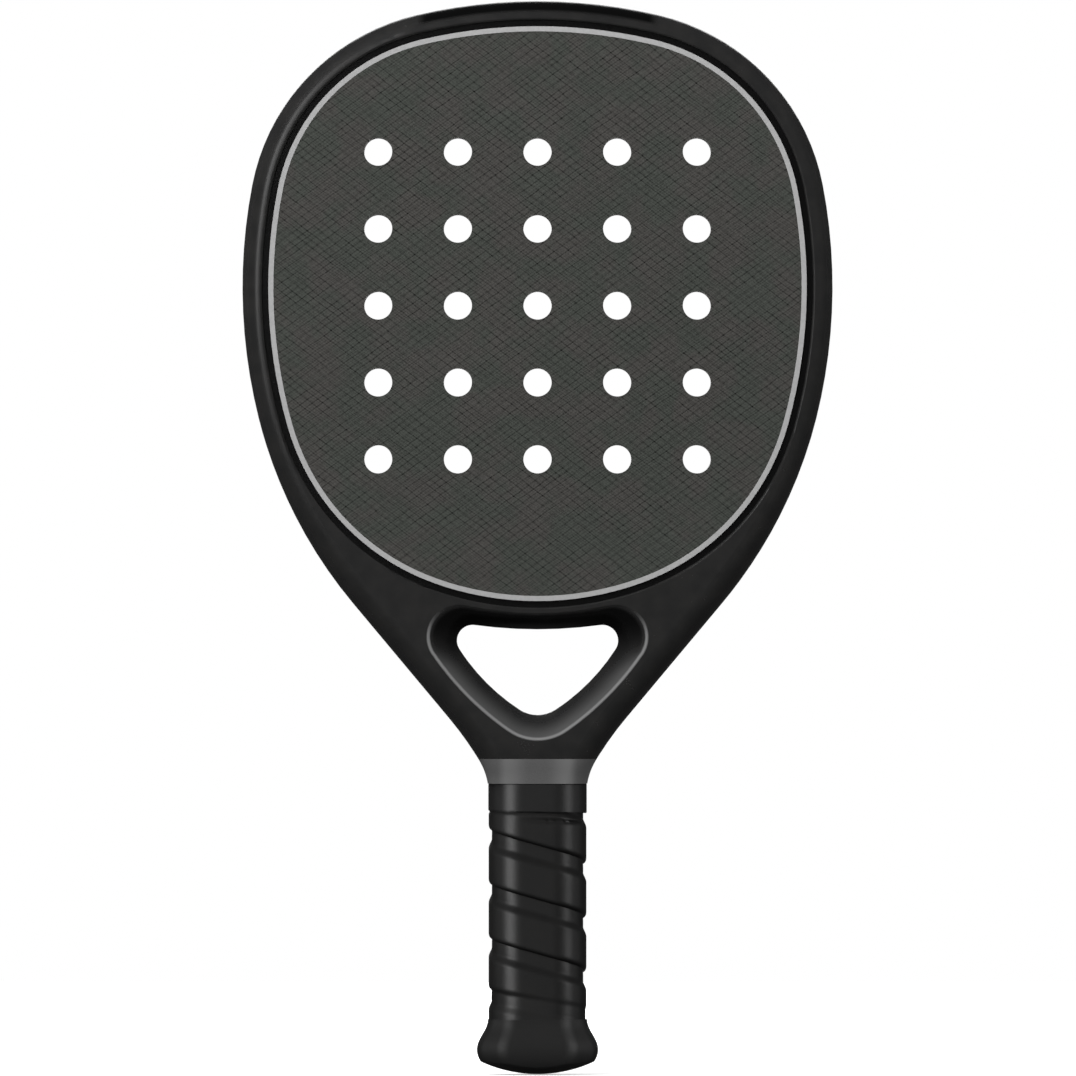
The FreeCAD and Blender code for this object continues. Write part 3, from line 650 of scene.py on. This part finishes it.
def close_wrap(made):
    outer_top = rim_edges(made, tape_low.z)
    outer_bottom = rim_edges(made, wrap_low.z)
    shoulder = loop_at(made, UNDER_TAPE, tape_low.z)
    hidden_top = loop_at(made, UNDER_TAPE, tape_high.z)
    inner_top = loop_at(made, WRAP_WALL, tape_high.z)
    inner_bottom = loop_at(made, WRAP_WALL, wrap_low.z)
    loops = (shoulder, hidden_top, inner_top, inner_bottom)
    for upper, lower in zip(loops, loops[1:]):
        skin_between(made, upper, lower)
    count = len(section)
    for outer, inner in ((outer_top, shoulder), (outer_bottom, inner_bottom)):
        ring_edges = [made.edges.get((inner[k], inner[(k + 1) % count])) for k in range(count)]
        bmesh.ops.bridge_loops(made, edges=outer + ring_edges)
    return made


close_wrap(wrap)
print("open edges left:", sum(edge.is_boundary for edge in wrap.edges))

# %% [markdown]
# Overgrip tape is polyurethane with a leather-like grain, dull black and a little tacky. The grain
# is finer than half a millimetre, and hands polish the raised parts slightly.

# %% Overgrip finish
skin = finish("grip_skin", specular_ior_level=0.4)
pebble = skin.cells(0.55)
pore = skin.noise(0.35, 2.0)
handled = skin.noise(16.0, 2.0)
skin.feed(skin.surface["Base Color"],
          skin.mix(handled.rise(0.3, 0.7), grey(0.0066), grey(0.0084, 0.03)))
skin.feed(skin.surface["Roughness"], 0.45 + 0.08 * pebble - 0.04 * handled)
skin.feed(skin.surface["Normal"], skin.bump(pebble * 0.7 + pore * 0.3, 0.02))
overgrip = smooth_mesh("overgrip_wrap", wrap, skin.material, "overgrip")

# %% [markdown]
# ## Finishing tape
# A short elastic tape closes the upper end of the winding. Its lower edge is never quite level,
# and its end overlaps itself on the back as a low step.

# %% Build the tape
TAPE_FILM = 0.5 * MM
EDGE_THICKNESS, EDGE_ROUND = 0.25 * MM, 0.3
# the overlap on the back: its height, and where it starts and ends in turns
LAP_STEP = 0.12 * MM
LAP_FROM, LAP_TO = (0.19, 0.194), (0.31, 0.36)
TAPE_ROWS = (0.0, 0.12, 0.3, 0.6, 1.2, 3.0, 6.0, 9.0, 10.8, 11.4, 11.7, 11.88, 12.0)


def tape_swell(height, turn):
    """How far the tape stands out, by the height above its lower edge in millimetres."""
    tall = TAPE_ROWS[-1]
    edge = min(height, tall - height)
    rolled = 1 - math.sqrt(max(0.0, 1 - min(1.0, edge / EDGE_ROUND) ** 2))
    lap = smooth(*LAP_FROM, turn) * (1 - smooth(*LAP_TO, turn))
    return -EDGE_THICKNESS * (1 - rolled) * (edge < EDGE_ROUND) + LAP_STEP * lap


def tape_loop(made, share, outwards):
    """A loop of points round the grip, from the sloping lower edge (0) to the top (1)."""
    loop = []
    for point, normal in section:
        turn = math.atan2(point.y, point.x) / (2 * math.pi) % 1.0
        bottom = tape_low.z - point.x * TAPE_SLOPE
        spot = point + normal * outwards(turn)
        loop.append(made.verts.new((spot.x, spot.y, bottom + (tape_high.z - bottom) * share)))
    return loop


def build_tape():
    made = bmesh.new()
    proud = tape_high.x - wrap_high.x
    loops = [tape_loop(made, height / TAPE_ROWS[-1], lambda turn: proud + tape_swell(height, turn))
             for height in TAPE_ROWS]
    loops += [tape_loop(made, share, lambda turn: proud - TAPE_FILM) for share in (1.0, 0.0)]
    for k, loop in enumerate(loops):
        skin_between(made, loop, loops[(k + 1) % len(loops)])
    return made


elastic = finish("finishing_tape", specular_ior_level=0.4)
ribs = elastic.noise(0.7, 2.0, stretch=(0.4, 0.4, 2.0))
elastic.feed(elastic.surface["Base Color"], elastic.mix(ribs, grey(0.0085), grey(0.0110)))
elastic.feed(elastic.surface["Roughness"], 0.42 + 0.08 * ribs)
elastic.feed(elastic.surface["Normal"], elastic.bump(ribs, 0.02))
tape = smooth_mesh("tape_band", build_tape(), elastic.material, "finishing_tape")

# %% [markdown]
# ## Floor
# A pale floor just under the racket. It glows, more so away from the racket, until it is white,
# and stays out of the reflections and the bounced light, so that the dark racket keeps its clean
# outline.

# %% Floor
FLOOR_HALF = 2.5
FLOOR_GAP = 0.3 * MM
WHITE_FROM = (60.0, 700.0)


def build_floor():
    made = bmesh.new()
    bmesh.ops.create_grid(made, x_segments=8, y_segments=8, size=FLOOR_HALF)
    mesh = bpy.data.meshes.new("floor")
    made.to_mesh(mesh)
    made.free()
    floor = bpy.data.objects.new("floor", mesh)
    floor.location = (0, 0, cad_low.z - FLOOR_GAP)
    floor.visible_diffuse = False
    floor.visible_glossy = False
    bpy.context.scene.collection.objects.link(floor)
    paper = finish("pale_floor", specular_ior_level=0.1, roughness=0.9, emission_strength=1.0)
    mottle = paper.noise(400.0, 2.0)
    paper.feed(paper.surface["Base Color"], paper.mix(mottle, grey(0.86), grey(0.88)))
    beside, behind, _ = paper.place()
    reach = (beside * beside + behind * behind).math("SQRT")
    paper.feed(paper.surface["Emission Color"],
               paper.mix(reach.rise(*WHITE_FROM), grey(0.45), grey(1.0)))
    mesh.materials.append(paper.material)


build_floor()

# %% [markdown]
# ## Light
# Black satin things are lit in two ways at once. Big soft panels give the even grey of the face;
# the four in front and at the sides are kept out of the reflections, the one behind is not.
# Narrower panels that are only mirrored draw the highlights, and each of them reaches only the
# pieces it is meant for: frame, grip or cap. The sky is white to the eye but dim as a light, so
# that the black stays black.

# %% Studio lights
MIDDLE = 0.227
GRIP_HEIGHT = 0.13
CAP_HEIGHT = 0.02
SKY_LIGHT = 0.05


def panel(name, azimuth, elevation, distance, width, height, power, at=MIDDLE,
          mirrored=True, lights=True, pieces=()):
    """A soft panel that faces the racket from a direction in degrees; azimuth 0 is the front.

    It can be kept out of the reflections or out of the diffuse light, and limited to some
    pieces, as a flag beside a real lamp would do."""
    data = bpy.data.lights.new(name, "AREA")
    data.shape = "RECTANGLE"
    data.size, data.size_y = width, height
    data.energy = power
    light = bpy.data.objects.new(name, data)
    bpy.context.scene.collection.objects.link(light)
    a, e = math.radians(azimuth), math.radians(elevation)
    away = Vector((math.sin(a) * math.cos(e), -math.cos(a) * math.cos(e), math.sin(e)))
    light.location = Vector((0, 0, at)) + away * distance
    light.rotation_euler = away.to_track_quat("Z", "Y").to_euler()
    light.visible_camera = False
    light.visible_glossy = mirrored
    light.visible_diffuse = lights
    if pieces:
        group = bpy.data.collections.new(name + "_reach")
        for piece in pieces:
            group.objects.link(piece)
        light.light_linking.receiver_collection = group


shell, cap = nodes["frame_shell"], nodes["butt_cap"]
panel("key", -35, 38, 2.2, 1.4, 1.4, 54, mirrored=False)
panel("fill", 40, 20, 2.4, 1.6, 1.6, 19, mirrored=False)
panel("back_soft", 180, 30, 2.4, 1.8, 1.4, 26)
panel("side_left", -100, 15, 2.0, 1.2, 1.2, 12, mirrored=False)
panel("side_right", 100, 15, 2.0, 1.2, 1.2, 12, mirrored=False)
panel("hoop_strip", -22, 12, 2.2, 0.56, 0.8, 4.8, lights=False, pieces=[shell])
for name, azimuth, width, power in (("grip_left", -44, 0.60, 5.8), ("grip_right", 60, 0.44, 2.2)):
    panel(name, azimuth, 0, 0.9, width, 0.24, power,
          at=GRIP_HEIGHT, lights=False, pieces=[overgrip, tape])
for name, azimuth in (("cap_left", -52), ("cap_right", 52)):
    panel(name, azimuth, 10, 0.6, 0.46, 0.24, 1.6,
          at=CAP_HEIGHT, lights=False, pieces=[cap])

world = bpy.data.worlds.new("studio")
bpy.context.scene.world = world
world.use_nodes = True
sky = Shading(world.node_tree)
seen = sky.node("ShaderNodeLightPath").outputs["Is Camera Ray"]
dim = sky.node("ShaderNodeBackground", inputs={0: (1, 1, 1, 1), 1: SKY_LIGHT})
white = sky.node("ShaderNodeBackground", inputs={0: (1, 1, 1, 1), 1: 1.0})
both = sky.node("ShaderNodeMixShader", inputs={0: seen, 1: dim.outputs[0], 2: white.outputs[0]})
sky.node("ShaderNodeOutputWorld", inputs={0: both.outputs[0]})
